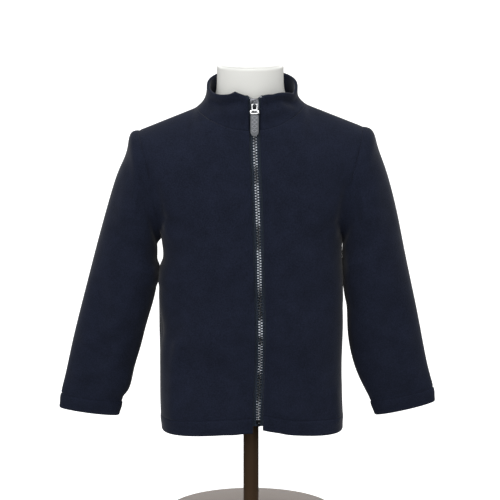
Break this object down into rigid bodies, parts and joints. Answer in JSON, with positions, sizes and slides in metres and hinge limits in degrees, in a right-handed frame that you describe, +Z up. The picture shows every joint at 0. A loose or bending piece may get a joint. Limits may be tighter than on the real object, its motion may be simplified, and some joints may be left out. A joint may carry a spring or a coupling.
{
  "type": "fleece zip jacket on dress form",
  "caption": "Child's navy fleece jacket with a stand collar, set-in sleeves and a full front zip, zipped up on a limbless white dress form with a short stand.",
  "frame": {"origin": "centre of the stand base's underside, on the pole's axis", "axes": "+Z up, -Y towards the jacket's front, +X towards the wearer's left"},
  "size_m": [0.5115, 0.23, 0.6259],
  "materials": {
    "fleece": "brushed polyester fleece, dark navy",
    "zip_tape": "woven polyester tape",
    "zip_teeth": "silver moulded teeth",
    "slider_metal": "gunmetal plated",
    "pull_metal": "polished nickel",
    "pull_rubber": "matt grey, embossed",
    "form_plastic": "white, satin",
    "stand_bronze": "dark bronze"
  },
  "bodies": {
    "jacket": {"back": "fleece", "front_right": "fleece", "front_left": "fleece", "sleeve_right": "fleece", "sleeve_left": "fleece", "collar": "fleece", "zip_tape_right": "zip_tape", "zip_tape_left": "zip_tape", "zip_chain": "zip_teeth", "zip_box": "zip_teeth", "zip_slider": "slider_metal", "dress_form": "form_plastic", "stand_pole": "stand_bronze", "stand_base": "stand_bronze"},
    "pull": {"pull_loop": "pull_metal", "pull_tab": "pull_rubber"}
  },
  "joints": [
    {"name": "pull_swing", "type": "hinge", "parent": "jacket", "child": "pull", "pos_m": [0.00462, -0.05849, 0.57962], "axis": [-1, 0, 0], "range_deg": [0, 160]}
  ]
}
